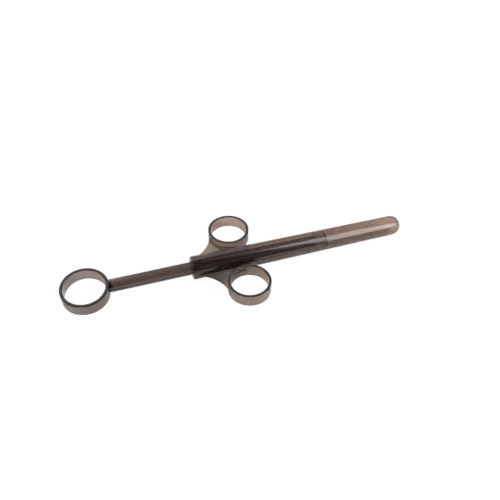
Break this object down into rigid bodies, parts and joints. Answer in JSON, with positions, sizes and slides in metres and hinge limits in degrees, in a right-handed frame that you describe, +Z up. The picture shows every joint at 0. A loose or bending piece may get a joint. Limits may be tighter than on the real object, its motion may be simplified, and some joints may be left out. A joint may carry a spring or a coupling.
{
  "type": "three-ring plunger syringe",
  "caption": "Smoke-tinted plastic hand syringe: tapered round-nosed barrel with finger rings on flat webs, and a sliding, turning plunger with a thumb ring and sealed piston.",
  "frame": {"origin": "on the surface that the syringe lies on, below the middle of its box", "axes": "+X along the barrel from the thumb ring towards the nose, +Z up from the surface; the thumb ring lies level, and the barrel is rolled about +X onto its far (+Y) finger ring"},
  "size_m": [0.243, 0.0806, 0.016],
  "materials": {
    "smoke_plastic": "smoke-tinted see-through moulding, glossy",
    "clear_grey_seal": "translucent grey, soft, satin"
  },
  "bodies": {
    "barrel": {"barrel": "smoke_plastic"},
    "seal": {"piston_seal": "clear_grey_seal"},
    "plunger": {"plunger_rod": "smoke_plastic", "piston_head": "smoke_plastic"}
  },
  "joints": [
    {"name": "plunger_slide", "type": "slide", "parent": "barrel", "child": "seal", "axis": [1, 0, 0], "range_m": [-0.08779, 0.0533]},
    {"name": "plunger_turn", "type": "hinge", "parent": "seal", "child": "plunger", "pos_m": [0.05765, 0, 0.008], "axis": [1, 0, 0], "continuous": true}
  ]
}
